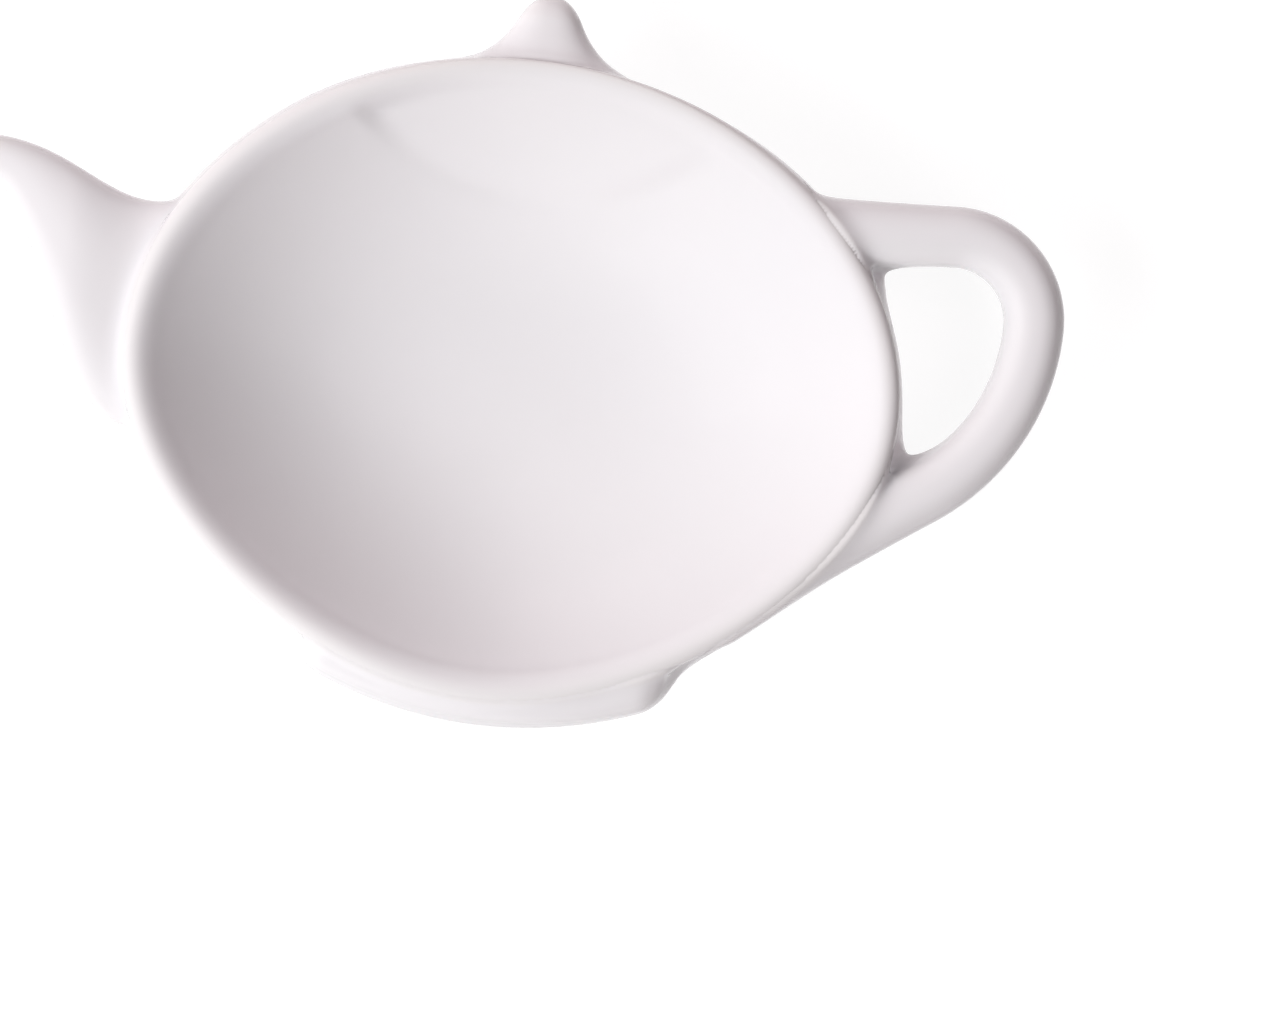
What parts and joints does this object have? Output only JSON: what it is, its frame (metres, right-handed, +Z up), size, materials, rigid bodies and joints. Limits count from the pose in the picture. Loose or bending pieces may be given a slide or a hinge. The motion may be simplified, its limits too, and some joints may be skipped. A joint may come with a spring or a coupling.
{
  "type": "tea bag rest",
  "caption": "Shallow oval ceramic dish in the outline of a teapot, with a spout, lid knob and loop handle, that holds a used tea bag off the table.",
  "frame": {"origin": "middle of the dish, on the table plane under the foot ring", "axes": "+X from the spout to the handle, +Y from the base ledge to the lid knob, +Z up out of the bowl"},
  "size_m": [0.1217, 0.0814, 0.02],
  "materials": {
    "glazed_porcelain": "glossy clear glaze over white porcelain",
    "bare_porcelain": "unglazed, matt"
  },
  "bodies": {
    "root": {"dish": "glazed_porcelain", "spout": "glazed_porcelain", "knob": "glazed_porcelain", "handle": "glazed_porcelain", "base_ledge": "glazed_porcelain", "foot_ring": "bare_porcelain"}
  },
  "joints": []
}
